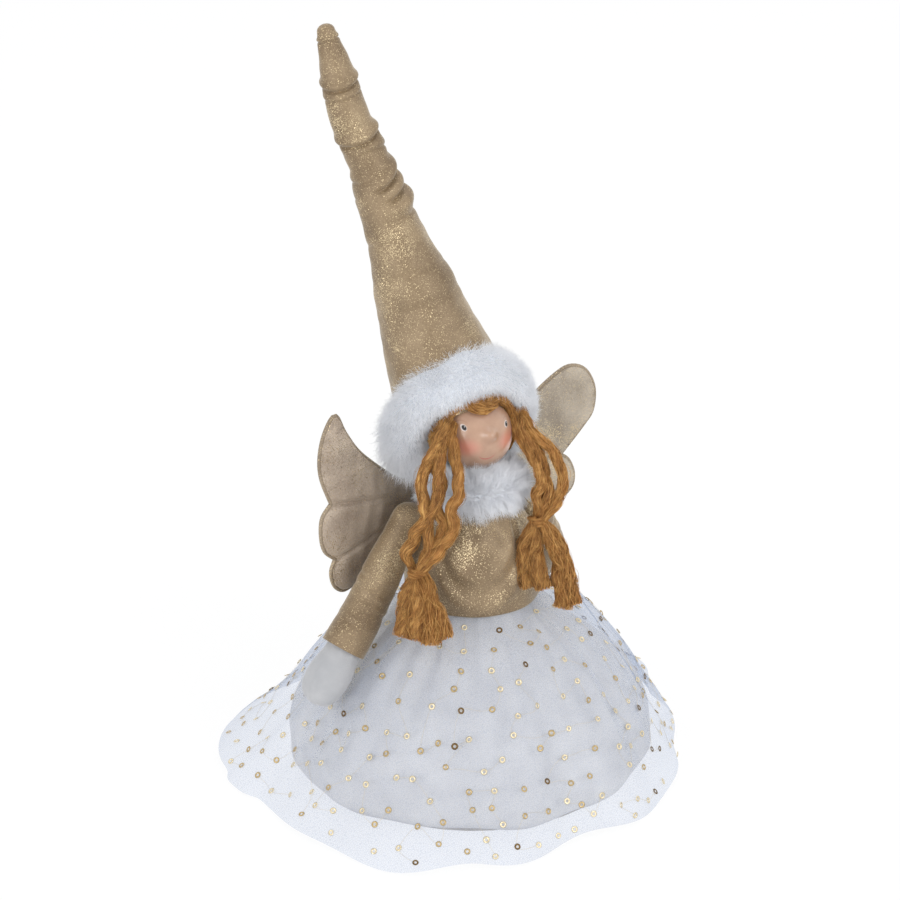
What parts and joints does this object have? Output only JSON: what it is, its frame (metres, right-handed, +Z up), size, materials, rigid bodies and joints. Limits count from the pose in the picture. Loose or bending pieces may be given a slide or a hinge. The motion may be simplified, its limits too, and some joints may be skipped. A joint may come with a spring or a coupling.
{
  "type": "fairy tree topper",
  "caption": "Stuffed fairy doll with a tall bendable cone hat, braids, sleeved arms and padded wings, on a net skirt over a card cone that slips over the top of a tree.",
  "frame": {"origin": "on the axis of the support cone, on the surface that the card ring stands on, which is the centre of the bottom of the bounding box", "axes": "+Z up along the cone's axis, which is the longest extent; -Y is the way the doll faces, +X is the doll's left"},
  "size_m": [0.2257, 0.1961, 0.3416],
  "materials": {
    "card": "matt card",
    "wadding": "matt white wadding cloth",
    "net": "sheer white net",
    "thread": "matt thread",
    "gold_cloth": "shimmering gold cloth with fine glitter",
    "stuffing": "loose white filling",
    "wood": "plain",
    "plush": "short white pile",
    "painted_face": "glossy skin-tone paint",
    "wool": "matt ochre wool",
    "wire": "bare soft wire",
    "white_cloth": "matt white cloth"
  },
  "bodies": {
    "doll": {"base_ring": "card", "support_cone": "card", "cone_top_disc": "card", "underskirt": "wadding", "tulle_overskirt": "net", "waist_tie": "thread", "torso_cover": "gold_cloth", "torso_filling": "stuffing", "neck_dowel": "wood", "fur_collar": "plush", "head": "painted_face", "hair_cap": "wool", "hat_brim": "plush", "hat_lower": "gold_cloth", "hat_filling": "stuffing", "hat_wire_lower": "wire", "wing_patch": "gold_cloth"},
    "hat_middle_length": {"hat_middle": "gold_cloth", "hat_wire_middle": "wire"},
    "hat_end": {"hat_tip": "gold_cloth", "hat_wire_tip": "wire"},
    "right_arm": {"sleeve_right": "gold_cloth", "arm_filling_right": "stuffing", "hand_right": "white_cloth"},
    "left_arm": {"sleeve_left": "gold_cloth", "arm_filling_left": "stuffing", "hand_left": "white_cloth"},
    "right_wing": {"wing_right": "gold_cloth", "wing_piping_right": "gold_cloth"},
    "left_wing": {"wing_left": "gold_cloth", "wing_piping_left": "gold_cloth"},
    "right_braid": {"braid_right": "wool", "braid_tie_right": "wool", "tassel_right": "wool"},
    "left_braid": {"braid_left": "wool", "braid_tie_left": "wool", "tassel_left": "wool"}
  },
  "joints": [
    {"name": "hat_bend_lower", "type": "hinge", "parent": "doll", "child": "hat_middle_length", "pos_m": [-0.02609, 0.04008, 0.2655], "axis": [0, 1, 0], "range_deg": [-30, 30]},
    {"name": "hat_bend_tip", "type": "hinge", "parent": "hat_middle_length", "child": "hat_end", "pos_m": [-0.03909, 0.04825, 0.30673], "axis": [0, 1, 0], "range_deg": [-30, 30]},
    {"name": "arm_right_swing", "type": "hinge", "parent": "doll", "child": "right_arm", "pos_m": [-0.03092, 0.00298, 0.12485], "axis": [0, 1, 0], "range_deg": [0, 60]},
    {"name": "arm_left_swing", "type": "hinge", "parent": "doll", "child": "left_arm", "pos_m": [0.03049, 0.00593, 0.12485], "axis": [0, 0, -1], "range_deg": [0, 60]},
    {"name": "wing_right_flap", "type": "hinge", "parent": "doll", "child": "right_wing", "pos_m": [-0.0058, 0.031, 0.1237], "axis": [0, 0, -1], "range_deg": [-5, 40]},
    {"name": "wing_left_flap", "type": "hinge", "parent": "doll", "child": "left_wing", "pos_m": [0.0058, 0.031, 0.1237], "axis": [0, 0, 1], "range_deg": [0, 40]},
    {"name": "braid_right_swing", "type": "hinge", "parent": "doll", "child": "right_braid", "pos_m": [-0.02188, -0.01367, 0.16407], "axis": [-1, 0, 0], "range_deg": [0, 40]},
    {"name": "braid_left_swing", "type": "hinge", "parent": "doll", "child": "left_braid", "pos_m": [0.02188, -0.01367, 0.16407], "axis": [-1, 0, 0], "range_deg": [0, 40]}
  ]
}
